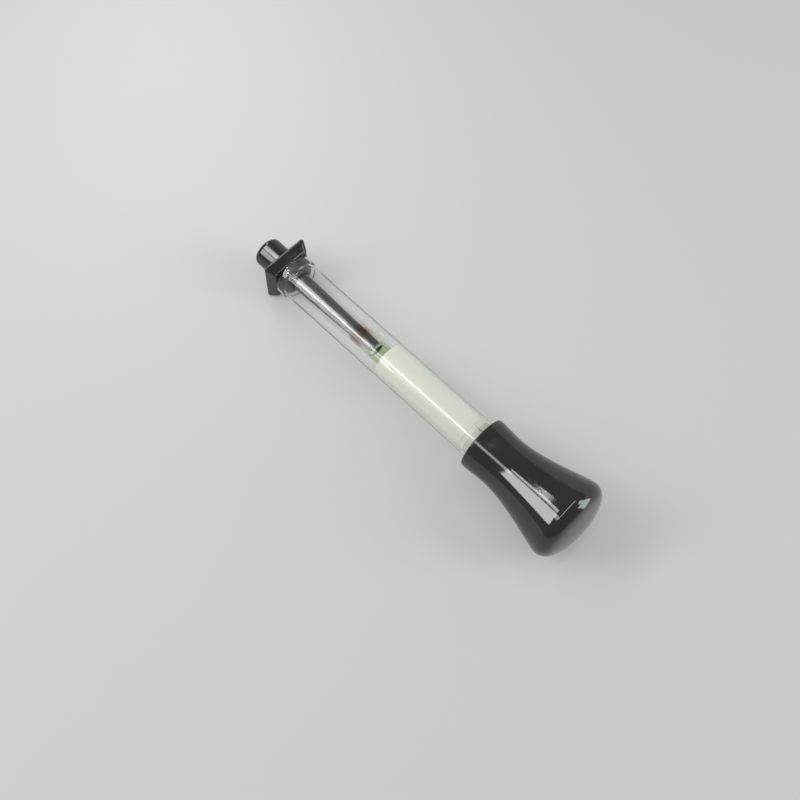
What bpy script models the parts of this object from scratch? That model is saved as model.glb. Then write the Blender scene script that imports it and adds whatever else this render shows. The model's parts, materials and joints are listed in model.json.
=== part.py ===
"""Battery hydrometer, lying as it is stored: a clear barrel with a rubber squeeze bulb on one end,
a rubber nozzle pushed in backwards at the other, and a banded float between them.

Every place along the tool is measured from the front face of the nozzle's stub towards the bulb.
"""
import math

import bmesh
import bpy
from mathutils import Matrix, Vector

MM = 0.001

# Driving dimensions
STUB_LENGTH = 12.9 * MM
STUB_RADIUS = 7.2 * MM
FLANGE_SIDE = 24.9 * MM
FLANGE_THICKNESS = 5.2 * MM
BARREL_LENGTH = 138.9 * MM
BARREL_RADIUS = 9.2 * MM
BARREL_WALL = 0.7 * MM
DIP_LENGTH = 49.0 * MM
DIP_ROOT_RADIUS = 4.35 * MM
DIP_TIP_RADIUS = 2.95 * MM
FLOAT_TRAVEL = 12.05 * MM
BULB_LENGTH = 58.2 * MM
BULB_RADIUS = 19.6 * MM
NECK_RADIUS = 12.25 * MM
NECK_GRIP = 20.3 * MM

# Clearances
SEAT_GAP = 0.3 * MM
FLOAT_GAP = 0.4 * MM
MERGE_DISTANCE = 0.001 * MM
CUT_OVERRUN = 1.0 * MM

# Nozzle stopper
STUB_EDGE = 2.4 * MM
STUB_BORE_RADIUS = 2.6 * MM
FLANGE_TAPER = 2.75 * MM
FLANGE_CORNER = 1.8 * MM
FLANGE_EDGE = 1.6 * MM
PLUG_LENGTH = 3.9 * MM
PLUG_CONE_LENGTH = 1.7 * MM
PLUG_NOSE_RADIUS = 5.6 * MM

# Dip tube
DIP_BORE_RADIUS = 1.4 * MM
DIP_ROOT_EDGE = 0.5 * MM
DIP_SPIGOT_RADIUS = 3.2 * MM
DIP_SPIGOT_LENGTH = 8.6 * MM

# Barrel
BEAD_RADIUS = 10.2 * MM
BEAD_LENGTH = 4.2 * MM
BEAD_SLOPE = 1.6 * MM
BARREL_EDGE = 0.25 * MM

# Float
SHOULDER_WALL = 1.4 * MM
SHELL_WALL = 0.9 * MM
FLOAT_EDGE = 0.7 * MM
CAP_LENGTH = 9.2 * MM
CAP_FLOOR = 1.4 * MM
CAP_SPIGOT_LENGTH = 4.0 * MM
CAP_SPIGOT_WALL = 0.7 * MM
STEM_RADIUS = 3.95 * MM
STEM_WALL = 0.35 * MM
STEM_LIP = 0.4 * MM
SOCKET_DEPTH = 13.2 * MM
SOCKET_FLOOR = 1.0 * MM
STEM_ROOT_WALL = 0.9 * MM
STEM_ROOT_LENGTH = 3.0 * MM
BAND_THICKNESS = 0.35 * MM
BAND_EDGE = 0.1 * MM
RED_LENGTH = 5.5 * MM
WHITE_LENGTH = 6.6 * MM
GREEN_LENGTH = 6.6 * MM
BALLAST_LENGTH = 14.2 * MM
BALLAST_EDGE = 0.6 * MM
WAD_THICKNESS = 2.2 * MM

# Guard that keeps the float out of the bulb
GUARD_THICKNESS = 2.6 * MM
GUARD_INSET = 1.8 * MM
GUARD_RIM = 1.1 * MM
GUARD_DISH = 0.9 * MM
GUARD_HOLE_RADIUS = 1.6 * MM
GUARD_HOLES = 6

# Bulb
LIP_SWELL = 0.6 * MM
LIP_EDGE = 0.6 * MM
WAIST_PLACE = 12.5 * MM
END_LENGTH = 9.2 * MM
BULB_WALL = 2.7 * MM
SEAT_RADIUS = 8.0 * MM
SEAT_THICKNESS = 1.6 * MM
SEAT_SLOPE = 1.6 * MM
FLARE_START_SHARE = 0.38
FLARE_END_SHARE = 0.88
END_ROUNDNESS = 2.2

# Facets round a turned piece, and points along each of its curves
ROUND_STEPS = 48
SLIM_STEPS = 32
HOLE_STEPS = 12
NECK_STEPS = 3
FLARE_STEPS = 11
END_STEPS = 8
EDGE_STEPS = 3
STUB_EDGE_STEPS = 4
RIM_STEPS = 3

# Angles and shares of the modelling steps
RIM_ANGLE = math.radians(90)
SHARP_ANGLE = math.radians(35)
SEE_THROUGH_SHARE = 0.7

# Places along the axis
FLANGE_FRONT = STUB_LENGTH
FLANGE_BACK = FLANGE_FRONT + FLANGE_THICKNESS
BARREL_START = FLANGE_BACK + SEAT_GAP
BARREL_END = BARREL_START + BARREL_LENGTH
PLUG_END = FLANGE_BACK + PLUG_LENGTH
PLUG_NOSE = PLUG_END + PLUG_CONE_LENGTH
DIP_ROOT = PLUG_NOSE + SEAT_GAP
DIP_TIP = DIP_ROOT + DIP_LENGTH
SOCKET_BOTTOM = DIP_TIP + SEAT_GAP
STEM_MOUTH = SOCKET_BOTTOM - SOCKET_DEPTH
RED_START = STEM_MOUTH + STEM_LIP + SEAT_GAP / 2
RED_END = RED_START + RED_LENGTH
WHITE_START = RED_END + SEAT_GAP
WHITE_END = WHITE_START + WHITE_LENGTH
GREEN_START = WHITE_END + SEAT_GAP
GUARD_END = BARREL_END - GUARD_INSET
GUARD_START = GUARD_END - GUARD_THICKNESS
CAP_END = GUARD_START - FLOAT_TRAVEL
CAP_START = CAP_END - CAP_LENGTH
BODY_END = CAP_START - SEAT_GAP
BODY_START = GREEN_START + GREEN_LENGTH + SEAT_GAP
BALLAST_END = CAP_END - CAP_FLOOR - SEAT_GAP
BALLAST_START = BALLAST_END - BALLAST_LENGTH
WAD_END = BALLAST_START - SEAT_GAP
BULB_SEAT = BARREL_END + SEAT_GAP
BULB_MOUTH = BULB_SEAT - NECK_GRIP
BULB_END = BULB_MOUTH + BULB_LENGTH
BULB_WAIST = BULB_MOUTH + WAIST_PLACE
BULB_WIDEST = BULB_END - END_LENGTH

# Radii that follow from what each piece fits
BORE_RADIUS = BARREL_RADIUS - BARREL_WALL
PLUG_RADIUS = BORE_RADIUS - SEAT_GAP
FLOAT_RADIUS = BORE_RADIUS - FLOAT_GAP
SHELL_BORE = FLOAT_RADIUS - SHELL_WALL
SOCKET_RADIUS = STEM_RADIUS - STEM_WALL
STEM_ROOT_BORE = STEM_RADIUS - STEM_ROOT_WALL
BAND_BORE = STEM_RADIUS + SEAT_GAP
BAND_RADIUS = BAND_BORE + BAND_THICKNESS
CAP_SPIGOT_RADIUS = SHELL_BORE - SEAT_GAP
CAP_BORE = CAP_SPIGOT_RADIUS - CAP_SPIGOT_WALL
BALLAST_RADIUS = CAP_BORE - SEAT_GAP
DIP_SOCKET_RADIUS = DIP_SPIGOT_RADIUS + SEAT_GAP
NECK_BORE = BARREL_RADIUS + SEAT_GAP
LIP_RADIUS = NECK_RADIUS + LIP_SWELL


def clear_scene():
    """Empties the scene and makes the collections for the pieces and for the cutters."""
    for item in list(bpy.data.objects):
        bpy.data.objects.remove(item, do_unlink=True)
    for group in list(bpy.data.collections):
        bpy.data.collections.remove(group)
    parts = bpy.data.collections.new("battery_hydrometer")
    cutters = bpy.data.collections.new("cutters")
    for group in (parts, cutters):
        bpy.context.scene.collection.children.link(group)
    return parts, cutters


def finish(name, colour, roughness, metallic=0.0, clearness=0.0):
    """A plain Principled material in the colour of the real piece."""
    material = bpy.data.materials.new(name)
    material.use_nodes = True
    shader = material.node_tree.nodes["Principled BSDF"]
    shader.inputs["Base Color"].default_value = (*colour, 1.0)
    shader.inputs["Roughness"].default_value = roughness
    shader.inputs["Metallic"].default_value = metallic
    shader.inputs["Transmission Weight"].default_value = clearness
    opacity = 1.0 - clearness * SEE_THROUGH_SHARE
    shader.inputs["Alpha"].default_value = opacity
    material.diffuse_color = (*colour, opacity)
    return material


def add_piece(name, mesh, group, material=None):
    """Puts a mesh in the scene as a named object on the tool's axis."""
    piece = bpy.data.objects.new(name, mesh)
    group.objects.link(piece)
    if material:
        mesh.materials.append(material)
    return piece


def as_cutter(piece):
    """Marks an object that only shapes another one."""
    piece.hide_render = True
    piece.display_type = "WIRE"
    return piece


def turned(name, outline, group, material=None, steps=ROUND_STEPS):
    """Turns (place, radius) points about the axis: down the outer side from the bulb's end, up the inner."""
    mesh = bpy.data.meshes.new(name)
    points = [(radius, 0, place) for place, radius in outline]
    edges = [(k, k + 1) for k in range(len(points) - 1)]
    if outline[0][1] > 0:
        edges.append((len(points) - 1, 0))
    mesh.from_pydata(points, edges, [])
    piece = add_piece(name, mesh, group, material)
    screw = piece.modifiers.new("turn", "SCREW")
    screw.axis = "Z"
    screw.steps = steps
    screw.render_steps = steps
    screw.use_merge_vertices = True
    screw.merge_threshold = MERGE_DISTANCE
    screw.use_smooth_shade = True
    return piece


def boolean(piece, other, operation):
    """Joins another object to this one, or cuts it away."""
    step = piece.modifiers.new(operation.lower(), "BOOLEAN")
    step.operation = operation
    step.object = other
    step.solver = "EXACT"


def rounded_corner(place, radius, edge, place_sign, steps=EDGE_STEPS):
    """Points of a quarter round between a face at a place and a side at a radius.

    place_sign is 1 where the face looks towards the bulb and -1 where it looks towards the stub.
    The points run from the face to the side.
    """
    points = []
    for k in range(steps + 1):
        angle = math.pi / 2 * k / steps
        inset = edge * (1 - math.cos(angle))
        points.append((place - place_sign * inset, radius - edge * (1 - math.sin(angle))))
    return points


def nozzle_stopper(parts, cutters):
    """Stub, square flange that tapers to the barrel, and plug, moulded in one, with a stepped bore."""
    rubber = finish("black_rubber", (0.012, 0.012, 0.013), 0.22)
    mesh = bpy.data.meshes.new("nozzle_stopper")
    build = bmesh.new()
    corner = math.sqrt(2)
    bmesh.ops.create_cone(
        build, cap_ends=True, segments=4, depth=FLANGE_THICKNESS,
        radius1=FLANGE_SIDE / 2 * corner, radius2=(FLANGE_SIDE / 2 - FLANGE_TAPER) * corner)
    turn = Matrix.Rotation(math.radians(45), 4, "Z")
    lift = Matrix.Translation((0, 0, FLANGE_FRONT + FLANGE_THICKNESS / 2))
    bmesh.ops.transform(build, matrix=lift @ turn, verts=build.verts)
    corners = [e for e in build.edges if abs(e.verts[0].co.z - e.verts[1].co.z) > FLANGE_THICKNESS / 2]
    bmesh.ops.bevel(
        build, geom=corners, offset=FLANGE_CORNER, segments=EDGE_STEPS, profile=0.5, affect="EDGES")
    build.to_mesh(mesh)
    build.free()
    stopper = add_piece("nozzle_stopper", mesh, parts, rubber)
    rim = stopper.modifiers.new("rim", "BEVEL")
    rim.width = FLANGE_EDGE
    rim.segments = RIM_STEPS
    rim.limit_method = "ANGLE"
    rim.angle_limit = RIM_ANGLE

    core = [(PLUG_NOSE, 0), (PLUG_NOSE, PLUG_NOSE_RADIUS), (PLUG_END, PLUG_RADIUS)]
    core += [(FLANGE_BACK, PLUG_RADIUS), (FLANGE_BACK - FLANGE_THICKNESS / 2, STUB_RADIUS)]
    core += reversed(rounded_corner(0, STUB_RADIUS, STUB_EDGE, -1, STUB_EDGE_STEPS))
    core.append((0, 0))
    boolean(stopper, as_cutter(turned("stopper_core", core, cutters)), "UNION")

    socket_bottom = DIP_ROOT - DIP_SPIGOT_LENGTH - SEAT_GAP
    bore = [
        (PLUG_NOSE + CUT_OVERRUN, 0), (PLUG_NOSE + CUT_OVERRUN, DIP_SOCKET_RADIUS),
        (socket_bottom, DIP_SOCKET_RADIUS), (socket_bottom, STUB_BORE_RADIUS),
        (-CUT_OVERRUN, STUB_BORE_RADIUS), (-CUT_OVERRUN, 0)]
    boolean(stopper, as_cutter(turned("stopper_bore", bore, cutters, steps=SLIM_STEPS)), "DIFFERENCE")
    return stopper


def dip_tube(parts):
    """Tapered tube that draws the acid, with a thinner spigot held in the stopper."""
    plastic = finish("black_tube", (0.016, 0.016, 0.017), 0.16)
    spigot_end = DIP_ROOT - DIP_SPIGOT_LENGTH
    outline = [(DIP_TIP, DIP_BORE_RADIUS), (DIP_TIP, DIP_TIP_RADIUS)]
    outline += [(DIP_ROOT + DIP_ROOT_EDGE, DIP_ROOT_RADIUS), (DIP_ROOT, DIP_ROOT_RADIUS - DIP_ROOT_EDGE)]
    outline += [(DIP_ROOT, DIP_SPIGOT_RADIUS)]
    outline += [(spigot_end, DIP_SPIGOT_RADIUS), (spigot_end, DIP_BORE_RADIUS)]
    return turned("dip_tube", outline, parts, plastic, SLIM_STEPS)


def barrel(parts):
    """Clear tube with a thick bead round the end that meets the flange."""
    clear = finish("clear_plastic", (0.92, 0.94, 0.93), 0.06, clearness=1.0)
    outline = [(BARREL_END, BORE_RADIUS), (BARREL_END, BARREL_RADIUS - BARREL_EDGE)]
    outline += [(BARREL_END - BARREL_EDGE, BARREL_RADIUS)]
    bead_end = BARREL_START + BEAD_LENGTH
    outline += [(bead_end + BEAD_SLOPE, BARREL_RADIUS), (bead_end, BEAD_RADIUS)]
    outline += [(BARREL_START + BARREL_EDGE, BEAD_RADIUS), (BARREL_START, BEAD_RADIUS - BARREL_EDGE)]
    outline += [(BARREL_START, BORE_RADIUS)]
    return turned("barrel", outline, parts, clear)


def float_body(parts):
    """Cream shell with an end wall that holds the stem, open towards the cap."""
    cream = finish("cream_plastic", (0.80, 0.80, 0.70), 0.35)
    stem_hole = STEM_RADIUS + SEAT_GAP
    outline = [(BODY_END, SHELL_BORE), (BODY_END, FLOAT_RADIUS)]
    outline += reversed(rounded_corner(BODY_START, FLOAT_RADIUS, FLOAT_EDGE, -1))
    outline += [(BODY_START, stem_hole), (BODY_START + SHOULDER_WALL, stem_hole)]
    outline += [(BODY_START + SHOULDER_WALL, SHELL_BORE)]
    return turned("float_body", outline, parts, cream)


def float_cap(parts):
    """Cup that closes the float's heavy end, with a spigot inside the shell."""
    cream = finish("cap_plastic", (0.84, 0.84, 0.78), 0.35)
    spigot_end = CAP_START - CAP_SPIGOT_LENGTH
    outline = [(CAP_END, 0)]
    outline += rounded_corner(CAP_END, FLOAT_RADIUS, FLOAT_EDGE, 1)
    outline += [(CAP_START, FLOAT_RADIUS), (CAP_START, CAP_SPIGOT_RADIUS), (spigot_end, CAP_SPIGOT_RADIUS)]
    outline += [(spigot_end, CAP_BORE), (CAP_END - CAP_FLOOR, CAP_BORE), (CAP_END - CAP_FLOOR, 0)]
    return turned("float_cap", outline, parts, cream)


def float_stem(parts):
    """Clear stem: a socket for the dip tube's tip, a floor, and a hollow root in the float's end wall."""
    clear = finish("stem_plastic", (0.90, 0.90, 0.86), 0.15, clearness=0.6)
    root_end = BODY_START + STEM_ROOT_LENGTH
    floor_end = SOCKET_BOTTOM + SOCKET_FLOOR
    outline = [(root_end, STEM_ROOT_BORE), (root_end, STEM_RADIUS), (STEM_MOUTH + STEM_LIP, STEM_RADIUS)]
    outline += [(STEM_MOUTH + STEM_LIP, BAND_RADIUS - BAND_EDGE), (STEM_MOUTH, BAND_RADIUS - BAND_EDGE)]
    outline += [(STEM_MOUTH, SOCKET_RADIUS), (SOCKET_BOTTOM, SOCKET_RADIUS), (SOCKET_BOTTOM, 0)]
    outline = [(floor_end, 0), (floor_end, STEM_ROOT_BORE)] + outline
    return turned("float_stem", outline, parts, clear, SLIM_STEPS)


def scale_band(name, start, length, colour, parts):
    """One coloured zone of the scale: a thin sleeve on the stem."""
    film = finish(name, colour, 0.4)
    end = start + length
    outline = [(end, BAND_BORE), (end, BAND_RADIUS - BAND_EDGE), (end - BAND_EDGE, BAND_RADIUS)]
    outline += [(start + BAND_EDGE, BAND_RADIUS), (start, BAND_RADIUS - BAND_EDGE), (start, BAND_BORE)]
    return turned(name, outline, parts, film, SLIM_STEPS)


def float_ballast(parts):
    """Steel slug that makes the float stand upright."""
    steel = finish("slug_steel", (0.45, 0.45, 0.46), 0.35, metallic=1.0)
    outline = [(BALLAST_END, 0), (BALLAST_END, BALLAST_RADIUS - BALLAST_EDGE)]
    outline += [(BALLAST_END - BALLAST_EDGE, BALLAST_RADIUS), (BALLAST_START + BALLAST_EDGE, BALLAST_RADIUS)]
    outline += [(BALLAST_START, BALLAST_RADIUS - BALLAST_EDGE), (BALLAST_START, 0)]
    return turned("float_ballast", outline, parts, steel, SLIM_STEPS)


def ballast_wad(parts):
    """Disc that holds the slug down in the cap."""
    foam = finish("wad_foam", (0.70, 0.66, 0.55), 0.8)
    wad_radius = SHELL_BORE - SEAT_GAP
    outline = [(WAD_END, 0), (WAD_END, wad_radius), (WAD_END - WAD_THICKNESS, wad_radius)]
    outline += [(WAD_END - WAD_THICKNESS, 0)]
    return turned("ballast_wad", outline, parts, foam, SLIM_STEPS)


def float_guard(parts, cutters):
    """Perforated disc near the barrel's end: liquid and air pass, the float does not."""
    white = finish("guard_plastic", (0.85, 0.85, 0.83), 0.4)
    radius = PLUG_RADIUS
    web = radius - GUARD_RIM
    dish = GUARD_END - GUARD_DISH
    outline = [(dish, 0), (dish, web), (GUARD_END, web), (GUARD_END, radius)]
    outline += [(GUARD_START, radius), (GUARD_START, 0)]
    guard = turned("float_guard", outline, parts, white)
    circle = (web + GUARD_HOLE_RADIUS) / 2
    for k in range(GUARD_HOLES + 1):
        angle = 2 * math.pi * k / GUARD_HOLES
        # The last hole is the one in the middle
        reach = circle if k < GUARD_HOLES else 0
        mesh = bpy.data.meshes.new("guard_hole")
        build = bmesh.new()
        bmesh.ops.create_cone(
            build, cap_ends=True, segments=HOLE_STEPS, depth=GUARD_THICKNESS + 2 * CUT_OVERRUN,
            radius1=GUARD_HOLE_RADIUS, radius2=GUARD_HOLE_RADIUS)
        build.to_mesh(mesh)
        build.free()
        hole = as_cutter(add_piece(f"guard_hole_{k + 1}", mesh, cutters))
        hole.location = (reach * math.cos(angle), reach * math.sin(angle), (GUARD_START + GUARD_END) / 2)
        boolean(guard, hole, "DIFFERENCE")
    return guard


def flare(start_place, start_radius, end_place, end_radius, steps):
    """A cubic curve that leaves the neck level and arrives level at the widest ring."""
    points = []
    for k in range(steps + 1):
        u = k / steps
        along = 3 * (1 - u) ** 2 * u * FLARE_START_SHARE + 3 * (1 - u) * u ** 2 * FLARE_END_SHARE + u ** 3
        gain = 3 * (1 - u) * u ** 2 + u ** 3
        place = start_place + (end_place - start_place) * along
        points.append((place, start_radius + (end_radius - start_radius) * gain))
    return points


def blunt_end(place, radius, length, steps):
    """A superellipse from a ring to the axis: a rounded rim that runs into a shallow dome."""
    power = 2 / END_ROUNDNESS
    points = []
    for k in range(1, steps + 1):
        angle = math.pi / 2 * k / steps
        ring = radius * math.cos(angle) ** power if k < steps else 0
        points.append((place + length * math.sin(angle) ** power, ring))
    return points


def bulb_outside():
    """The bulb's outer side from its mouth to the axis at its end."""
    points = rounded_corner(BULB_MOUTH, LIP_RADIUS, LIP_EDGE, -1)
    lip_end = points[-1][0]
    for k in range(1, NECK_STEPS):
        share = k / NECK_STEPS
        ease = (1 - math.cos(math.pi * share)) / 2
        points.append((lip_end + (BULB_WAIST - lip_end) * share, LIP_RADIUS - LIP_SWELL * ease))
    points += flare(BULB_WAIST, NECK_RADIUS, BULB_WIDEST, BULB_RADIUS, FLARE_STEPS)
    points += blunt_end(BULB_WIDEST, BULB_RADIUS, END_LENGTH, END_STEPS)
    return points


def bulb_inside():
    """The bulb's inner side from its mouth: the neck's bore, the seat for the barrel and the air space."""
    seat_end = BULB_SEAT + SEAT_THICKNESS
    points = [(BULB_MOUTH, NECK_BORE), (BULB_SEAT, NECK_BORE)]
    points += [(BULB_SEAT, SEAT_RADIUS), (seat_end, SEAT_RADIUS)]
    outer = flare(BULB_WAIST, NECK_RADIUS, BULB_WIDEST, BULB_RADIUS, FLARE_STEPS)
    points += [(place, radius - BULB_WALL) for place, radius in outer if place > seat_end + SEAT_SLOPE]
    points += blunt_end(BULB_WIDEST, BULB_RADIUS - BULB_WALL, END_LENGTH - BULB_WALL, END_STEPS - 2)
    return points


def bulb(parts):
    """Rubber squeeze bulb: neck, trumpet flare, rounded rim and shallow dome, hollow inside."""
    rubber = finish("bulb_rubber", (0.010, 0.010, 0.011), 0.12)
    outline = list(reversed(bulb_outside())) + bulb_inside()
    return turned("bulb", outline, parts, rubber)


def rest_tilt(stopper):
    """Angle at which the tool lies on the flange's lower edge and the bulb's widest ring."""
    view = bpy.context.evaluated_depsgraph_get()
    rings = bulb_outside()
    tilts = []
    for vertex in stopper.evaluated_get(view).data.vertices:
        tilts.append(max(math.atan2(radius - vertex.co.x, place - vertex.co.z) for place, radius in rings))
    return min(tilts)


def lay_down(pieces, cutters, stopper):
    """Tilts the tool to its rest on one empty that carries all pieces, its underside's middle at the origin."""
    axis = bpy.data.objects.new("tool_axis", None)
    bpy.context.scene.collection.objects.link(axis)
    for item in [*pieces, *cutters.objects]:
        item.parent = axis
    axis.rotation_euler = (0, math.pi / 2 - rest_tilt(stopper), 0)
    bpy.context.view_layer.update()
    view = bpy.context.evaluated_depsgraph_get()
    low = Vector((math.inf,) * 3)
    high = Vector((-math.inf,) * 3)
    for piece in pieces:
        solid = piece.evaluated_get(view)
        for vertex in solid.data.vertices:
            place = solid.matrix_world @ vertex.co
            low = Vector(map(min, low, place))
            high = Vector(map(max, high, place))
    axis.location = (-(low.x + high.x) / 2, -(low.y + high.y) / 2, -low.z)


def shade(pieces):
    """Smooth shading on round sides, sharp at real edges."""
    for piece in pieces:
        piece.data.shade_smooth()
        piece.data.set_sharp_from_angle(angle=SHARP_ANGLE)


def main():
    parts, cutters = clear_scene()
    stopper = nozzle_stopper(parts, cutters)
    pieces = [
        barrel(parts),
        float_guard(parts, cutters),
        stopper,
        dip_tube(parts),
        float_body(parts),
        float_cap(parts),
        float_stem(parts),
        scale_band("scale_red", RED_START, RED_LENGTH, (0.62, 0.05, 0.04), parts),
        scale_band("scale_white", WHITE_START, WHITE_LENGTH, (0.88, 0.88, 0.86), parts),
        scale_band("scale_green", GREEN_START, GREEN_LENGTH, (0.25, 0.62, 0.12), parts),
        float_ballast(parts),
        ballast_wad(parts),
        bulb(parts),
    ]
    shade(pieces)
    lay_down(pieces, cutters, stopper)
    return pieces


if __name__ == "__main__":
    main()
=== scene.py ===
"""The looks of the battery hydrometer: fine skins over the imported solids, materials, floor, lamps and camera.

Sizes are in metres. A piece is drawn in the tool's own frame, where z runs along the axis from the front of
the nozzle's stub towards the bulb, x points down and y to the far side. It is then laid where the frame says.
"""
import json
import math

import bpy
from mathutils import Euler, Matrix, Vector

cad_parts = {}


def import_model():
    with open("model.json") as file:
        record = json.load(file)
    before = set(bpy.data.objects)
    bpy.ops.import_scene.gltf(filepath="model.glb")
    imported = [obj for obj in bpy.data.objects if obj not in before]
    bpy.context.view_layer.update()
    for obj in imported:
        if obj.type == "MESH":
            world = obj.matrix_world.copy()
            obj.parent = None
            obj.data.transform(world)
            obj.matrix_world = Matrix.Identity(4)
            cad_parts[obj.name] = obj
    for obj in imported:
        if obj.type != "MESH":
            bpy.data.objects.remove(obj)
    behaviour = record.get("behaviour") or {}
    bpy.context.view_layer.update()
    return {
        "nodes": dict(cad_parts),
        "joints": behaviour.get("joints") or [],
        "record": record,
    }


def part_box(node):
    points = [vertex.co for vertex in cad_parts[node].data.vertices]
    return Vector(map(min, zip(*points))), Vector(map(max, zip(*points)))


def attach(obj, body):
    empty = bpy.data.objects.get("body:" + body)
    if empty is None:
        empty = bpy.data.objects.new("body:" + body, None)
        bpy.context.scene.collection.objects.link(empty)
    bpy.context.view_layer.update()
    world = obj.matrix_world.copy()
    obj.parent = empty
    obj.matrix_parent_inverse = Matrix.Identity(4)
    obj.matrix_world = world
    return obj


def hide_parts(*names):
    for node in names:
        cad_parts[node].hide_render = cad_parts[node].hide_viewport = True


MM = 0.001

# The photograph's camera, solved from four points of the photograph; its turn is in degrees
CAMERA_PLACE = (129.92 * MM, -176.89 * MM, 501.6 * MM)
CAMERA_TURN = (23.255, -2.984, 44.734)
CAMERA_LENS = 54.27
CAMERA_SENSOR = 36.0

# Facets round a piece, points on corners and curves, and the least angle of a sharp edge in degrees
ROUND = 160
CORNER = 6
CURVE = 40
SHARP_ANGLE = 40

# Nozzle stopper
STUB_RADIUS = 7.2 * MM
STUB_EDGE = 2.4 * MM
STUB_BORE = 2.6 * MM
STUB_CHAMFER = 0.3 * MM
FLANGE_HALF = 12.45 * MM
FLANGE_TAPER = 2.75 * MM
FLANGE_CORNER = 1.8 * MM
FLANGE_EDGE = 1.6 * MM
FLANGE_GAP = 0.3 * MM
FILLET = 0.5 * MM
PLUG_GRIP = 0.05 * MM
PLUG_NOSE = 5.6 * MM
PLUG_CONE = 1.7 * MM

# Dip tube
TUBE_GAP = 0.3 * MM
TUBE_BORE = 1.4 * MM
TUBE_ROOT_EDGE = 0.5 * MM
TUBE_TIP_RADIUS = 2.95 * MM
TUBE_TIP_EDGE = 0.15 * MM

# Barrel
BEAD_LENGTH = 4.2 * MM
BEAD_SLOPE = 1.6 * MM
BARREL_WALL = 0.7 * MM
BARREL_RADIUS = 9.2 * MM
BARREL_EDGE = 0.25 * MM
BEAD_EDGE = 2 * BARREL_EDGE
BORE = BARREL_RADIUS - BARREL_WALL

# Float; a dark streak is painted on its cap, and its half width grows by the share along the axis
SOCKET_OUTSIDE = 3.95 * MM
SOCKET_WALL = 0.35 * MM
FLOAT_EDGE = 0.7 * MM
SHOULDER_WALL = 1.4 * MM
SHELL_WALL = 0.9 * MM
CAP_WALL = 0.7 * MM
CAP_FLOOR = 1.4 * MM
SEAM = 0.06 * MM
GROOVE_PLACE = 2.5 * MM
GROOVE_PITCH = 1.0 * MM
GROOVE_WIDTH = 0.36 * MM
GROOVE_DEPTH = 0.45 * MM
GROOVE_COUNT = 3
CAP_STREAK_SIDE = 1.0 * MM
CAP_STREAK_SPREAD_SHARE = 0.05
STEM_GAP = 0.3 * MM
STEM_LIP = 0.4 * MM
STEM_WALL = 0.9 * MM
STEM_FLOOR = 1.0 * MM
BAND_EDGE = 0.1 * MM

# Bulb
LIP_SWELL = 0.6 * MM
LIP_EDGE = 0.6 * MM
WAIST_PLACE = 12.5 * MM
NECK_RADIUS = 12.25 * MM
NECK_BORE = 9.5 * MM
NECK_GRIP = 20.3 * MM
SEAT_STEP = 1.5 * MM
SEAT_RUN = 3.2 * MM
END_LENGTH = 9.2 * MM
BULB_WALL = 2.7 * MM
FLARE_START_SHARE = 0.38
FLARE_END_SHARE = 0.88
END_ROUNDNESS = 2.2
# Where, before the bulb's end, a pale painted reflection of the floor starts on the rim, and the run over which
# it fades in
PAINTED_RIM_PLACE = 5.0 * MM
PAINTED_RIM_RUN = 2.5 * MM

# Colours, as linear red, green and blue; a pair of them runs from one to the other
BULB_BLACK = (0.012, 0.014, 0.012)
STOPPER_BLACK = (0.012, 0.013, 0.012)
TUBE_BLACKS = ((0.012, 0.012, 0.013), (0.02, 0.02, 0.021))
# Pale grey painted on the bulb's rim and dome as a reflection of the floor
PAINTED_RIM_GREY = (0.13, 0.132, 0.13)
BARREL_CLEAR = (0.985, 0.992, 0.988)
BARREL_PASSING = (0.985, 0.99, 0.987)
STEM_CLEAR = (0.97, 0.97, 0.955)
STEM_PASSING = (0.95, 0.95, 0.94)
BODY_CREAM = (0.775, 0.757, 0.67)
CAP_CREAM = (0.80, 0.78, 0.70)
# Dark of the streak painted on the float's cap
CAP_STREAK_DARK = (0.10, 0.10, 0.09)
RED_INKS = ((0.80, 0.60, 0.54), (0.94, 0.86, 0.82))
WHITE_INKS = ((0.97, 0.97, 0.955), (0.92, 0.92, 0.9))
GREEN_INKS = ((0.74, 0.86, 0.60), (0.92, 0.95, 0.84))
GUARD_WHITE = (0.8, 0.8, 0.78)
STEEL_GREY = (0.5, 0.5, 0.51)
FOAM_BUFF = (0.65, 0.6, 0.5)
RUBBER_SHADE_SHARE = 1.6
CREAM_SHADE_SHARE = 0.93
MOULD_SHADE_SHARE = 0.8

# Shine of the rubber, ranges of roughness, and the plug's least one
BULB_SHINE = 0.75
STOPPER_SHINE = 0.6
POLISHED = (0.03, 0.05)
CLOUDY = (0.05, 0.14)
FILMY = (0.1, 0.2)
SHEEN = (0.30, 0.34)
SATIN = (0.32, 0.46)
RUBBER_POLISH = 0.06
BULB_DULLEST = 0.1
STOPPER_DULLEST = 0.18
MOULD_SPREAD = 0.15
MATT = 0.6

# Grain of the materials: sizes, depths and strengths of bumps, and how it is drawn out along the axis
RUBBER_CLOUDS = 7 * MM
RUBBER_SMUDGES = 3 * MM
RUBBER_PEEL = 0.9 * MM
RUBBER_PEEL_DEPTH = 0.012 * MM
CREAM_CLOUDS = 8 * MM
CREAM_GRAIN = 0.4 * MM
CREAM_DEPTHS = (1.2 * MM, 0.9 * MM, 0.6 * MM)
MOULD_GRAIN = 0.6 * MM
GRAIN_DEPTH = 0.01 * MM
STEM_CLOUDS = 2 * MM
INK_PATCHES = 1.6 * MM
INK_EDGE = 0.12
FILM_GRAIN = 0.5 * MM
BARREL_MARKS = 0.5 * MM
TUBE_STREAKS = 0.6 * MM
STREAK_DEPTH = 0.002 * MM
GRAIN_STRENGTH = 0.5
STREAK_STRENGTH = 0.3
NOISE_MIDDLE = (0.3, 0.7)
CLOUD_STRETCH = (1, 1, 0.4)
SMUDGE_STRETCH = (1, 1, 0.5)
PATCH_STRETCH = (1, 1, 0.6)
MARK_STRETCH = (1, 1, 0.03)
STREAK_STRETCH = (1, 1, 0.02)

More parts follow.
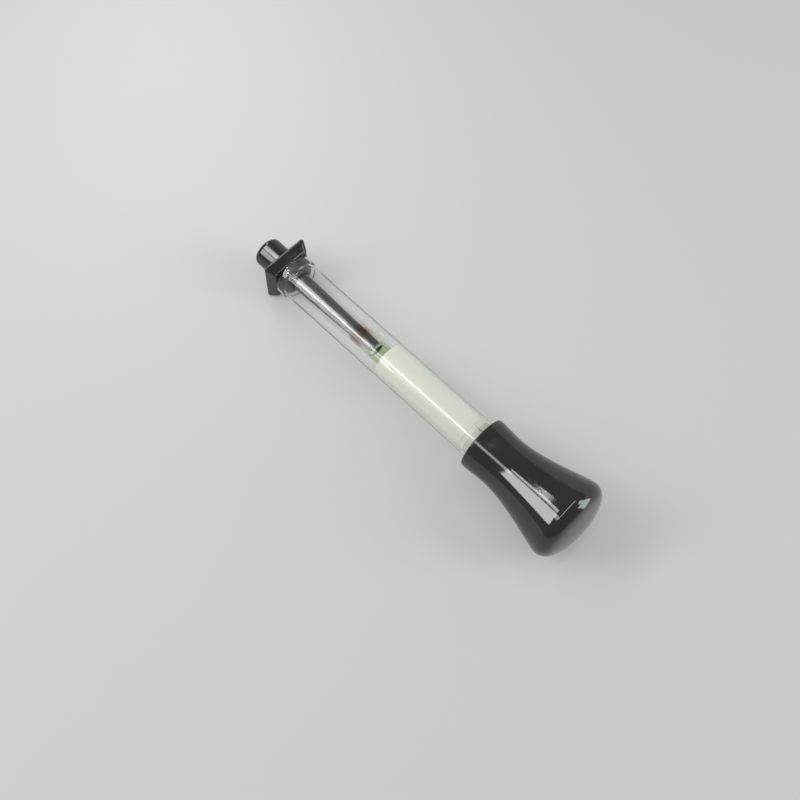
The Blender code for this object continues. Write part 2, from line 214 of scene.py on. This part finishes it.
# Levels of the surroundings
FLOOR_SIZE = 6.0
FLOOR_TONE = 0.62
FLOOR_BLUE_SHARE = 0.985
FLOOR_EVEN_SHARE = 0.35
WORLD_TINT = (0.98, 1.0, 0.99)
WORLD_STRENGTH = 0.25

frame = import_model()


def tool_matrix():
    """The tool's own frame, from the float's joint, the ballast slug and the stub's front face."""
    slide = next(joint for joint in frame["joints"] if joint["name"] == "float_slide")
    axis = Vector(slide["axis"]).normalized()
    low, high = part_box("float_ballast")
    middle = (low + high) / 2
    stub = frame["nodes"]["nozzle_stopper"].data.vertices
    front = middle + axis * min((vertex.co - middle).dot(axis) for vertex in stub)
    side = Vector((0, 1, 0))
    down = side.cross(axis)
    matrix = Matrix((down, side, axis)).transposed().to_4x4()
    matrix.translation = front
    return matrix


TOOL = tool_matrix()
TO_TOOL = TOOL.inverted()


def span(node):
    """Start, end and greatest radius of a CAD node along the tool's axis."""
    points = [TO_TOOL @ vertex.co for vertex in frame["nodes"][node].data.vertices]
    places = [point.z for point in points]
    return min(places), max(places), max(math.hypot(point.x, point.y) for point in points)


# Start and end of the flange along the axis
flange_seat = next(mount for mount in frame["record"]["mounts"] if mount["name"] == "flange_seat")
FLANGE = ((TO_TOOL @ Vector(flange_seat["pos_m"])).z, span("barrel")[0] - FLANGE_GAP)


# Outlines


def round_corner(place, radius, edge, sign, steps=CORNER):
    """A quarter round from a face to a side at a radius; sign is 1 where the face looks to the bulb."""
    points = []
    for k in range(steps + 1):
        angle = math.pi / 2 * k / steps
        points.append((place - sign * edge * (1 - math.cos(angle)), radius - edge * (1 - math.sin(angle))))
    return points


def flare(start_place, start_radius, end_place, end_radius, steps=CURVE):
    """A cubic curve that leaves the neck level and arrives level at the widest ring."""
    points = []
    for k in range(steps + 1):
        u = k / steps
        along = 3 * (1 - u) ** 2 * u * FLARE_START_SHARE + 3 * (1 - u) * u ** 2 * FLARE_END_SHARE + u ** 3
        gain = 3 * (1 - u) * u ** 2 + u ** 3
        place = start_place + (end_place - start_place) * along
        points.append((place, start_radius + (end_radius - start_radius) * gain))
    return points


def blunt_end(place, radius, length, steps=CURVE):
    """A superellipse from a ring to the axis: a rounded rim that runs into a shallow dome."""
    power = 2 / END_ROUNDNESS
    points = []
    for k in range(1, steps + 1):
        angle = math.pi / 2 * k / steps
        ring = radius * math.cos(angle) ** power if k < steps else 0
        points.append((place + length * math.sin(angle) ** power, ring))
    return points


def square_reach(angle, half, corner):
    """Distance from the middle of a round-cornered square to its side, in a direction."""
    turn = (angle + math.pi / 4) % (math.pi / 2) - math.pi / 4
    if abs(half * math.tan(turn)) <= half - corner:
        return half / math.cos(turn)
    away = abs(turn) - math.pi / 4
    centre = (half - corner) * math.sqrt(2)
    return centre * math.cos(away) + math.sqrt(corner ** 2 - (centre * math.sin(away)) ** 2)


# Pieces


def skin(name, outline, body, material, steps=ROUND):
    """Turns an outline about the axis and puts it on a body.

    An outline point is (place, radius), or (place, half side, corner) on a round-cornered square. An outline
    that doesn't start on the axis runs back to its first point.
    """
    vertices = []
    rings = []
    for point in outline:
        if point[1] == 0:
            rings.append([len(vertices)])
            vertices.append((0, 0, point[0]))
            continue
        rings.append(range(len(vertices), len(vertices) + steps))
        for k in range(steps):
            angle = 2 * math.pi * k / steps
            reach = point[1] if len(point) == 2 else square_reach(angle, point[1], point[2])
            vertices.append((reach * math.cos(angle), reach * math.sin(angle), point[0]))
    pairs = list(zip(rings, rings[1:]))
    if len(rings[0]) > 1:
        pairs.append((rings[-1], rings[0]))
    faces = []
    for one, two in pairs:
        for k in range(steps):
            m = (k + 1) % steps
            corners = [two[k % len(two)], two[m % len(two)], one[m % len(one)], one[k % len(one)]]
            faces.append(list(dict.fromkeys(corners)))
    mesh = bpy.data.meshes.new(name)
    mesh.from_pydata(vertices, [], [face for face in faces if len(face) > 2])
    mesh.transform(TOOL)
    mesh.validate()
    mesh.shade_smooth()
    mesh.set_sharp_from_angle(angle=math.radians(SHARP_ANGLE))
    piece = bpy.data.objects.new(name, mesh)
    bpy.context.scene.collection.objects.link(piece)
    mesh.materials.append(material)
    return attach(piece, body)


def bulb_skin(material):
    """Neck, trumpet flare, rounded rim and dome, with the air space inside."""
    mouth, end, radius = span("bulb")
    waist = mouth + WAIST_PLACE
    widest = end - END_LENGTH
    lip = NECK_RADIUS + LIP_SWELL
    outside = round_corner(mouth, lip, LIP_EDGE, -1)
    lip_end = outside[-1][0]
    for k in range(1, CURVE):
        share = k / CURVE
        ease = (1 - math.cos(math.pi * share)) / 2
        outside.append((lip_end + (waist - lip_end) * share, lip - LIP_SWELL * ease))
    outside += flare(waist, NECK_RADIUS, widest, radius)
    outside += blunt_end(widest, radius, end - widest)
    seat = mouth + NECK_GRIP
    inside = [(mouth, NECK_BORE), (seat, NECK_BORE), (seat, NECK_BORE - SEAT_STEP)]
    inner = flare(waist, NECK_RADIUS, widest, radius, CURVE // 2)
    inside += [(place, ring - BULB_WALL) for place, ring in inner if place > seat + SEAT_RUN]
    inside += blunt_end(widest, radius - BULB_WALL, END_LENGTH - BULB_WALL, CURVE // 2)
    piece = skin("bulb_skin", outside[::-1] + inside, "bulb", material)
    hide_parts("bulb")


def flange_side(low, high):
    """Front edge, tapered side and back edge of the square flange, as (place, half side, corner)."""
    slope = math.atan2(FLANGE_TAPER, high - low)
    bend = FLANGE_EDGE * math.tan((math.pi / 2 - slope) / 2)
    sides = []
    for k in range(2 * CORNER + 1):
        angle = (math.pi / 2 + slope) * k / (2 * CORNER)
        sides.append((low + bend * (1 - math.cos(angle)), FLANGE_HALF - FLANGE_EDGE + bend * math.sin(angle)))
    back = FLANGE_HALF - FLANGE_TAPER
    sides += [(high - FILLET, back + FILLET * math.tan(slope)), (high, back - FILLET / 2)]
    return [(place, half, FLANGE_CORNER * half / FLANGE_HALF) for place, half in sides]


def stopper_skin(material):
    """Stub, square flange and plug in one moulding; the plug's side is pressed against the barrel's bore."""
    low, high = FLANGE
    nose = span("nozzle_stopper")[1]
    plug_end = nose - PLUG_CONE
    plug = BORE + PLUG_GRIP
    outline = [(nose, STUB_BORE), (nose, PLUG_NOSE - FILLET), (nose - FILLET, PLUG_NOSE)]
    outline += [(plug_end, plug), (high, plug)]
    outline += flange_side(low, high)[::-1]
    for k in range(CORNER + 1):
        angle = math.pi / 2 * k / CORNER
        outline.append((low - FILLET * (1 - math.cos(angle)), STUB_RADIUS + FILLET * (1 - math.sin(angle))))
    outline += round_corner(0, STUB_RADIUS, STUB_EDGE, -1, 2 * CORNER)[::-1]
    outline += [(0, STUB_BORE + STUB_CHAMFER), (STUB_CHAMFER, STUB_BORE)]
    piece = skin("stopper_skin", outline, "nozzle", material, steps=2 * ROUND)
    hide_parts("nozzle_stopper")


def tube_skin(material):
    """Tapered dip tube with a square-cut tip."""
    start, end, root = span("dip_tube")
    root_place = span("nozzle_stopper")[1] + TUBE_GAP
    outline = [(end, TUBE_BORE), (end, TUBE_TIP_RADIUS - TUBE_TIP_EDGE)]
    outline += [(end - TUBE_TIP_EDGE, TUBE_TIP_RADIUS), (root_place + TUBE_ROOT_EDGE, root)]
    outline += [(root_place, root - TUBE_ROOT_EDGE), (root_place, TUBE_BORE)]
    piece = skin("tube_skin", outline, "nozzle", material)
    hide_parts("dip_tube")


def barrel_skin(material):
    """Clear tube with a rounded bead at the flange end."""
    start, end, bead = span("barrel")
    bead_end = start + BEAD_LENGTH
    outline = [(end, BORE + BARREL_EDGE)]
    outline += round_corner(end, BARREL_RADIUS, BARREL_EDGE, 1)
    for k in range(CORNER + 1):
        share = k / CORNER
        ease = (1 - math.cos(math.pi * share)) / 2
        outline.append((bead_end + BEAD_SLOPE * (1 - share), BARREL_RADIUS + (bead - BARREL_RADIUS) * ease))
    outline += round_corner(start, bead, BEAD_EDGE, -1)[::-1]
    outline += [(start, BORE + BARREL_EDGE), (start + BARREL_EDGE, BORE), (end - BARREL_EDGE, BORE)]
    piece = skin("barrel_skin", outline, "barrel", material)
    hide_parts("barrel")


def body_skin(material):
    """Cream shell of the float with its rounded shoulder."""
    start, end, radius = span("float_body")
    hole = SOCKET_OUTSIDE + STEM_GAP
    seam = end + STEM_GAP - SEAM
    outline = [(seam, radius - SHELL_WALL), (seam, radius - SEAM), (seam - SEAM, radius)]
    outline += round_corner(start, radius, FLOAT_EDGE, -1)[::-1]
    outline += [(start, hole), (start + SHOULDER_WALL, hole), (start + SHOULDER_WALL, radius - SHELL_WALL)]
    piece = skin("body_skin", outline, "float", material)
    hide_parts("float_body")


def cap_skin(material):
    """Cup that closes the float's heavy end, with grooves round it."""
    spigot, end, radius = span("float_cap")
    seam = span("float_body")[1] + STEM_GAP
    inner = span("float_ballast")[2] + STEM_GAP
    floor = end - CAP_FLOOR
    outline = [(end, 0)]
    outline += round_corner(end, radius, FLOAT_EDGE, 1)
    for k in reversed(range(GROOVE_COUNT)):
        place = seam + GROOVE_PLACE + k * GROOVE_PITCH
        outline += [(place + GROOVE_WIDTH / 2, radius), (place + GROOVE_WIDTH / 2, radius - GROOVE_DEPTH)]
        outline += [(place - GROOVE_WIDTH / 2, radius - GROOVE_DEPTH), (place - GROOVE_WIDTH / 2, radius)]
    outline += [(seam + SEAM, radius), (seam, radius - SEAM), (seam, inner + CAP_WALL)]
    outline += [(spigot, inner + CAP_WALL), (spigot, inner), (floor, inner), (floor, 0)]
    piece = skin("cap_skin", outline, "float", material)
    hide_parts("float_cap")


def stem_skin(material):
    """Clear stem with a lip at its mouth, an open socket for the dip tube and a floor."""
    mouth, end, lip = span("float_stem")
    bottom = span("dip_tube")[1] + STEM_GAP
    floor = bottom + STEM_FLOOR
    bore = SOCKET_OUTSIDE - STEM_WALL
    socket = SOCKET_OUTSIDE - SOCKET_WALL
    outline = [(floor, 0), (floor, bore), (end, bore)]
    outline += [(end, SOCKET_OUTSIDE), (mouth + STEM_LIP, SOCKET_OUTSIDE), (mouth + STEM_LIP, lip)]
    outline += [(mouth + BAND_EDGE, lip), (mouth, lip - BAND_EDGE), (mouth, socket)]
    outline += [(bottom, socket), (bottom, 0)]
    piece = skin("stem_skin", outline, "float", material)
    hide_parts("float_stem")


def band_skin(node, material):
    """One zone of the scale."""
    start, end, radius = span(node)
    bore = SOCKET_OUTSIDE + STEM_GAP
    outline = [(end, bore), (end, radius - BAND_EDGE), (end - BAND_EDGE, radius)]
    outline += [(start + BAND_EDGE, radius), (start, radius - BAND_EDGE), (start, bore)]
    piece = skin(f"{node}_skin", outline, "float", material)
    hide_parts(node)


# Materials


def add(tree, kind, inputs=None, **settings):
    """Adds a shader node with its settings; an input that is a socket is linked, any other value is set."""
    made = tree.nodes.new("ShaderNode" + kind)
    for key, value in settings.items():
        setattr(made, key, value)
    for key, value in (inputs or {}).items():
        if isinstance(value, bpy.types.NodeSocket):
            tree.links.new(value, made.inputs[key])
        else:
            made.inputs[key].default_value = value
    return made


def new_material(name, **sockets):
    """A material with its Principled shader's constant values; returns it with its node tree and shader."""
    material = bpy.data.materials.new(name)
    material.use_nodes = True
    tree = material.node_tree
    shader = tree.nodes["Principled BSDF"]
    for key, value in sockets.items():
        shader.inputs[key.replace("_", " ")].default_value = value
    return material, tree, shader


def tool_space(tree):
    """Texture coordinates in the tool's own frame."""
    coordinates = add(tree, "TexCoord").outputs["Object"]
    back = TO_TOOL.to_euler()
    mapping = add(tree, "Mapping", {"Vector": coordinates, "Location": TO_TOOL.translation, "Rotation": back})
    return mapping.outputs["Vector"]


def noise(tree, where, size, detail=3.0, stretch=(1, 1, 1)):
    """Noise whose grains are about this many metres across, drawn out along z where stretch says."""
    scaled = add(tree, "VectorMath", {0: where, 1: stretch}, operation="MULTIPLY").outputs[0]
    return add(tree, "TexNoise", {"Vector": scaled, "Scale": 1 / size, "Detail": detail}).outputs["Fac"]


def spread(tree, value, low, high, start=NOISE_MIDDLE[0], end=NOISE_MIDDLE[1]):
    """Maps a value from start to end, by default the middle of a noise, to a range of numbers."""
    ends = {"From Min": start, "From Max": end, "To Min": low, "To Max": high}
    return add(tree, "MapRange", {"Value": value, **ends}).outputs["Result"]


def work_out(tree, operation, one, two=0.0):
    """The result of a Math node."""
    return add(tree, "Math", {0: one, 1: two}, operation=operation).outputs[0]


def blend_colours(tree, value, one, two):
    """Runs from one colour to another; each is a colour or a socket."""
    mixed = add(tree, "Mix", {"Factor": value}, data_type="RGBA")
    for socket, colour in zip([s for s in mixed.inputs if s.type == "RGBA"], (one, two)):
        if isinstance(colour, bpy.types.NodeSocket):
            tree.links.new(colour, socket)
        else:
            socket.default_value = (*colour, 1)
    return next(s for s in mixed.outputs if s.type == "RGBA")


def shaded(colour, share):
    """The colour, each part of it times a share."""
    return tuple(share * part for part in colour)


def bumps(tree, shader, height, depth, strength):
    """Raises the surface by a height map, so many metres deep."""
    made = add(tree, "Bump", {"Height": height, "Distance": depth, "Strength": strength})
    tree.links.new(made.outputs["Normal"], shader.inputs["Normal"])


def let_lamps_through(tree, shader, colour):
    """Light on its way to a matt surface passes a clear material straight, tinted by its colour."""
    passing = add(tree, "BsdfTransparent", {"Color": (*colour, 1)}).outputs[0]
    rays = add(tree, "LightPath").outputs
    lighting = work_out(tree, "MAXIMUM", rays["Is Shadow Ray"], rays["Is Diffuse Ray"])
    mixed = add(tree, "MixShader", {0: lighting, 1: shader.outputs[0], 2: passing}).outputs[0]
    tree.links.new(mixed, tree.nodes["Material Output"].inputs["Surface"])


def black_rubber(name, shine, roughest, tint, matt_from=None, scuffed_from=None):
    """Glossy moulded rubber: faint clouding, smudges that dull the gloss and a very fine orange peel.

    From matt_from on, along the axis, it is matt; from scuffed_from on it turns paler, a painted reflection of
    the pale floor on the rim and dome.
    """
    material, tree, shader = new_material(name, Specular_IOR_Level=shine)
    where = tool_space(tree)
    clouds = noise(tree, where, RUBBER_CLOUDS, 4)
    smudges = noise(tree, where, RUBBER_SMUDGES, 6, SMUDGE_STRETCH)
    peel = noise(tree, where, RUBBER_PEEL, 2)
    along = add(tree, "SeparateXYZ", {"Vector": where}).outputs["Z"]
    tone = blend_colours(tree, clouds, tint, shaded(tint, RUBBER_SHADE_SHARE))
    # Paler towards the end: a painted reflection of the floor on the rim and dome
    if scuffed_from is not None:
        scuffed = spread(tree, along, 0.0, 1.0, scuffed_from, scuffed_from + PAINTED_RIM_RUN)
        tone = blend_colours(tree, scuffed, tone, PAINTED_RIM_GREY)
    tree.links.new(tone, shader.inputs["Base Color"])
    roughness = spread(tree, smudges, RUBBER_POLISH, roughest)
    if matt_from is not None:
        matt = work_out(tree, "GREATER_THAN", along, matt_from)
        matt = work_out(tree, "MULTIPLY", matt, MATT)
        roughness = work_out(tree, "MAXIMUM", roughness, matt)
    tree.links.new(roughness, shader.inputs["Roughness"])
    bumps(tree, shader, peel, RUBBER_PEEL_DEPTH, GRAIN_STRENGTH)
    return material


def clear_plastic():
    """Polished clear tube with fine drawing marks; the gloss is a coat, so its edges stay clear."""
    material, tree, shader = new_material(
        "clear_barrel", Base_Color=(*BARREL_CLEAR, 1), Transmission_Weight=1.0, IOR=1.09,
        Coat_Weight=1.0, Coat_IOR=1.5, Coat_Roughness=0.04)
    where = tool_space(tree)
    marks = noise(tree, where, BARREL_MARKS, 2, MARK_STRETCH)
    tree.links.new(spread(tree, marks, *POLISHED), shader.inputs["Roughness"])
    bumps(tree, shader, marks, STREAK_DEPTH, STREAK_STRENGTH)
    let_lamps_through(tree, shader, BARREL_PASSING)
    return material


def cream_plastic(name, colour, cap_streak=False):
    """Opaque cream moulding: a little light gets into it, with cloudy tone and a satin grain.

    With cap_streak, a painted dark streak runs out towards the end.
    """
    material, tree, shader = new_material(
        name, Subsurface_Weight=0.25, Subsurface_Radius=CREAM_DEPTHS, Subsurface_Scale=1.0,
        Specular_IOR_Level=0.3)
    where = tool_space(tree)
    clouds = noise(tree, where, CREAM_CLOUDS, 3, CLOUD_STRETCH)
    grain = noise(tree, where, CREAM_GRAIN, 2)
    tone = blend_colours(tree, clouds, colour, shaded(colour, CREAM_SHADE_SHARE))
    if cap_streak:
        tone = add_cap_streak(tree, where, tone)
    tree.links.new(tone, shader.inputs["Base Color"])
    tree.links.new(spread(tree, grain, *SATIN), shader.inputs["Roughness"])
    bumps(tree, shader, grain, GRAIN_DEPTH, GRAIN_STRENGTH)
    return material


def add_cap_streak(tree, where, tone):
    """A dark streak painted on the upper side, widening towards the bulb."""
    place = add(tree, "SeparateXYZ", {"Vector": where}).outputs
    away = work_out(tree, "SUBTRACT", place["Y"], CAP_STREAK_SIDE)
    away = work_out(tree, "ABSOLUTE", away)
    along = work_out(tree, "SUBTRACT", place["Z"], span("float_body")[1])
    half = work_out(tree, "MULTIPLY", along, CAP_STREAK_SPREAD_SHARE)
    narrow = work_out(tree, "LESS_THAN", away, half)
    upper = work_out(tree, "LESS_THAN", place["X"], 0.0)
    inside = work_out(tree, "MULTIPLY", narrow, upper)
    return blend_colours(tree, inside, tone, CAP_STREAK_DARK)


def cloudy_plastic():
    """Clear stem, slightly cloudy."""
    material, tree, shader = new_material(
        "cloudy_stem", Base_Color=(*STEM_CLEAR, 1), Transmission_Weight=1.0, IOR=1.06)
    where = tool_space(tree)
    tree.links.new(spread(tree, noise(tree, where, STEM_CLOUDS), *CLOUDY), shader.inputs["Roughness"])
    let_lamps_through(tree, shader, STEM_PASSING)
    return material


def printed_film(name, inks, coverage):
    """Printed zone: a see-through coloured film with patchy ink."""
    material, tree, shader = new_material(name, Transmission_Weight=1.0, IOR=1.06)
    where = tool_space(tree)
    patches = noise(tree, where, INK_PATCHES, 3, PATCH_STRETCH)
    patches = spread(tree, patches, 0.0, 1.0, coverage, coverage + INK_EDGE)
    tree.links.new(blend_colours(tree, patches, *inks), shader.inputs["Base Color"])
    tree.links.new(spread(tree, noise(tree, where, FILM_GRAIN), *FILMY), shader.inputs["Roughness"])
    let_lamps_through(tree, shader, inks[0])
    return material


def tube_plastic():
    """Black extrusion with a strong soft sheen and fine lengthwise streaks."""
    material, tree, shader = new_material("tube_black", Specular_IOR_Level=1.0, IOR=1.55)
    where = tool_space(tree)
    streaks = noise(tree, where, TUBE_STREAKS, 3, STREAK_STRETCH)
    tree.links.new(blend_colours(tree, streaks, *TUBE_BLACKS), shader.inputs["Base Color"])
    tree.links.new(spread(tree, streaks, *SHEEN), shader.inputs["Roughness"])
    bumps(tree, shader, streaks, STREAK_DEPTH, STREAK_STRENGTH)
    return material


def plain_moulding(name, colour, roughness, metallic=0.0):
    """For the pieces that the others hide: moulded or turned, with a fine grain."""
    material, tree, shader = new_material(name, Metallic=metallic)
    where = tool_space(tree)
    grain = noise(tree, where, MOULD_GRAIN, 3)
    tone = blend_colours(tree, grain, colour, shaded(colour, MOULD_SHADE_SHARE))
    tree.links.new(tone, shader.inputs["Base Color"])
    tree.links.new(spread(tree, grain, roughness, roughness + MOULD_SPREAD), shader.inputs["Roughness"])
    bumps(tree, shader, grain, GRAIN_DEPTH, GRAIN_STRENGTH)
    return material


def repaint(node, material):
    """Gives a CAD node that stays a finished material."""
    frame["nodes"][node].data.materials.clear()
    frame["nodes"][node].data.materials.append(material)


# Surroundings


def floor():
    """Plain pale floor that keeps the shadow.

    What the camera sees of it, directly, mirrored or through a clear piece, is partly even light.
    """
    bpy.ops.mesh.primitive_plane_add(size=FLOOR_SIZE)
    plane = bpy.context.object
    plane.name = "floor"
    material, tree, shader = new_material("pale_floor", Roughness=0.9, Specular_IOR_Level=0.1)
    pale = (FLOOR_TONE, FLOOR_TONE, FLOOR_BLUE_SHARE * FLOOR_TONE, 1)
    shader.inputs["Base Color"].default_value = pale
    glow = add(tree, "Emission", {"Color": pale, "Strength": 1.0}).outputs[0]
    rays = add(tree, "LightPath").outputs
    seen = work_out(tree, "MAXIMUM", rays["Is Glossy Ray"], rays["Is Transmission Ray"])
    seen = work_out(tree, "MAXIMUM", rays["Is Camera Ray"], seen)
    share = work_out(tree, "MULTIPLY", seen, FLOOR_EVEN_SHARE)
    mixed = add(tree, "MixShader", {0: share, 1: shader.outputs[0], 2: glow}).outputs[0]
    tree.links.new(mixed, tree.nodes["Material Output"].inputs["Surface"])
    plane.data.materials.append(material)


def world():
    """Even pale surroundings."""
    made = bpy.data.worlds.new("studio")
    made.use_nodes = True
    background = made.node_tree.nodes["Background"]
    background.inputs["Color"].default_value = (*WORLD_TINT, 1)
    background.inputs["Strength"].default_value = WORLD_STRENGTH
    bpy.context.scene.world = made


def softbox(name, start, way, long_side, width, length, glow, tint=(1, 1, 1)):
    """A rectangular lamp at start + way, facing start; long_side is the direction of its length."""
    data = bpy.data.lights.new(name, "AREA")
    data.shape = "RECTANGLE"
    data.size = width
    data.size_y = length
    data.energy = math.pi * width * length * glow
    data.color = tint
    lamp = bpy.data.objects.new(name, data)
    bpy.context.scene.collection.objects.link(lamp)
    back = Vector(way).normalized()
    across = Vector(long_side).cross(back).normalized()
    along = back.cross(across)
    matrix = Matrix((across, along, back)).transposed().to_4x4()
    matrix.translation = Vector(start) + Vector(way)
    lamp.matrix_world = matrix
    lamp.visible_camera = False


def camera():
    """The photograph's view."""
    data = bpy.data.cameras.new("camera")
    data.sensor_width = CAMERA_SENSOR
    data.lens = CAMERA_LENS
    item = bpy.data.objects.new("camera", data)
    bpy.context.scene.collection.objects.link(item)
    item.location = CAMERA_PLACE
    item.rotation_euler = Euler([math.radians(turn) for turn in CAMERA_TURN])
    bpy.context.scene.camera = item


def toward(azimuth, elevation):
    """Unit vector to a place in the surroundings.

    Both angles are in degrees: azimuth from +X to +Y, elevation above the floor.
    """
    round_z, up = math.radians(azimuth), math.radians(elevation)
    return Vector((math.cos(up) * math.cos(round_z), math.cos(up) * math.sin(round_z), math.sin(up)))


# Places on the tool that the lamps stand round, the way to the two near ones, and the sky's tint
NECK_PLACE = (0.06, -0.01, 0.03)
RIM_PLACE = (0.081, 0, 0.037)
END_PLACE = (0.09, 0, 0.02)
MIDDLE_PLACE = (0, 0, 0.02)
STUB_PLACE = (-0.09, 0, 0.02)
FLANGE_PLACE = (-0.085, 0, 0.015)
WINDOW_LENGTH = (-0.12, 0.73, 0.68)
UPRIGHT = (0, 0, 1)
SKY = (0.86, 1.0, 1.0)
STUB_WAY = 0.16 * Vector((-0.561, -0.05, 0.826))
FLANGE_WAY = 0.25 * Vector((-0.755, 0.319, 0.573))

# Name, place, way from there to the lamp, way its length runs, width, length, glow and tint. Each lamp stands
# where the photograph's bulb, barrel, stub or flange mirrors something bright.
LAMPS = [
    ("window_left", NECK_PLACE, toward(-133.0, 34.0), WINDOW_LENGTH, 0.30, 0.55, 7.4),
    ("window_top", NECK_PLACE, Vector((-0.640, -0.300, 0.810)), WINDOW_LENGTH, 0.26, 0.13, 6.0),
    ("window_corner", RIM_PLACE, Vector((-0.6925, -0.104, 0.714)), (0, 0.99, 0.145), 0.06, 0.30, 8.0),
    ("line", MIDDLE_PLACE, Vector((-0.2425, -0.545, 0.808)), (1, 0, 0.045), 0.17, 0.465, 4.0),
    ("overhead", END_PLACE, Vector((-0.085, -0.06, 0.99)), (0, 1, 0), 0.06, 1.2, 6.0),
    ("pane_tall", END_PLACE, toward(39, 20), UPRIGHT, 0.44, 0.68, 5.0, SKY),
    ("pane_small", END_PLACE, toward(52, 46), UPRIGHT, 0.24, 0.24, 5.0, SKY),
    ("far_wall", MIDDLE_PLACE, toward(90, 15), (1, 0, 0), 0.60, 1.6, 0.33),
    ("stub_wedge", STUB_PLACE, STUB_WAY, (0, 1, 0.06), 0.022, 0.075, 6.0),
    ("tip_edge", FLANGE_PLACE, FLANGE_WAY, (0.604, 0, 0.797), 0.04, 0.106, 8.0),
]

camera()
floor()
world()
for lamp in LAMPS:
    softbox(*lamp)

# The bulb's rim and dome get a pale painted reflection of the floor
painted_reflection_start = span("bulb")[1] - PAINTED_RIM_PLACE
rubber = black_rubber("bulb_black", BULB_SHINE, BULB_DULLEST, BULB_BLACK, scuffed_from=painted_reflection_start)
bulb_skin(rubber)
rubber = black_rubber("stopper_black", STOPPER_SHINE, STOPPER_DULLEST, STOPPER_BLACK, matt_from=FLANGE[1])
stopper_skin(rubber)
tube_skin(tube_plastic())
barrel_skin(clear_plastic())
body_skin(cream_plastic("cream_body", BODY_CREAM))
cap_skin(cream_plastic("cream_cap", CAP_CREAM, cap_streak=True))
stem_skin(cloudy_plastic())
band_skin("scale_red", printed_film("film_red", RED_INKS, coverage=0.5))
band_skin("scale_white", printed_film("film_white", WHITE_INKS, coverage=0.6))
band_skin("scale_green", printed_film("film_green", GREEN_INKS, coverage=0.42))
repaint("float_guard", plain_moulding("guard_white", GUARD_WHITE, roughness=0.35))
repaint("float_ballast", plain_moulding("turned_steel", STEEL_GREY, roughness=0.25, metallic=1.0))
repaint("ballast_wad", plain_moulding("pressed_foam", FOAM_BUFF, roughness=0.7))

bpy.context.scene.view_settings.view_transform = "Standard"
